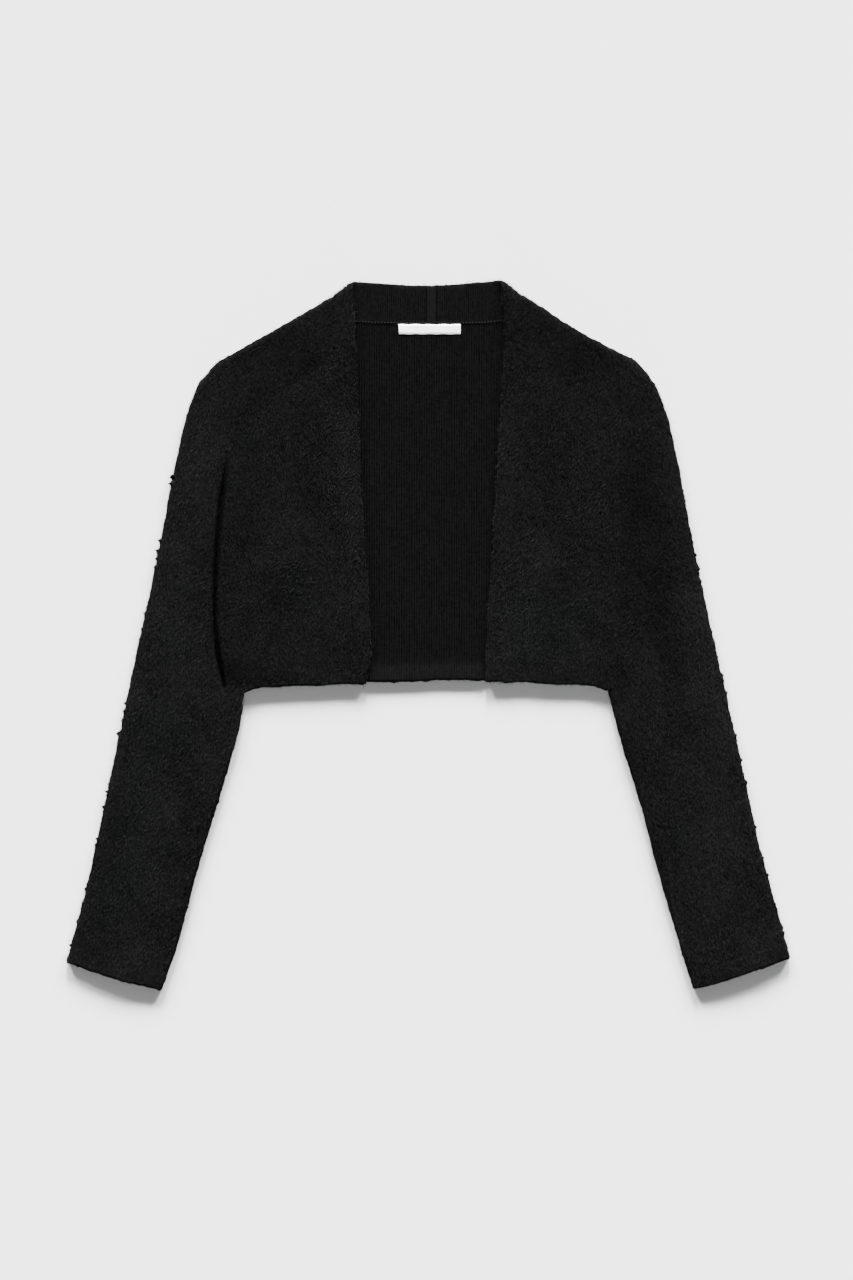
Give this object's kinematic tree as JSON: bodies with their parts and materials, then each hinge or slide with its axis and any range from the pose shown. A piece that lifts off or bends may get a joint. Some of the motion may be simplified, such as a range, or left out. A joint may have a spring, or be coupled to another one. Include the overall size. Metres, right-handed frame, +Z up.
{
  "type": "cropped open-front cardigan",
  "caption": "Cropped open-front knitted cardigan with long sleeves and a neckband, laid flat with its fronts closed over its back.",
  "frame": {"origin": "on the table, under the middle of the garment's outline", "axes": "+X across the body towards the sleeve on the right as seen from above, +Y from the cuffs up to the neck, +Z up from the table"},
  "size_m": [0.722, 0.7097, 0.0089],
  "materials": {
    "brushed_knit": "black knit brushed to a soft, curly pile",
    "plain_knit": "black fine plain knit, matt, with the fine wales of its inner side showing",
    "label_tape": "white woven satin tape, bare"
  },
  "bodies": {
    "root": {"back": "plain_knit", "front_left": "brushed_knit", "front_right": "brushed_knit", "sleeve_left": "brushed_knit", "sleeve_right": "brushed_knit", "band_left": "brushed_knit", "band_right": "brushed_knit", "label": "label_tape"}
  },
  "joints": []
}
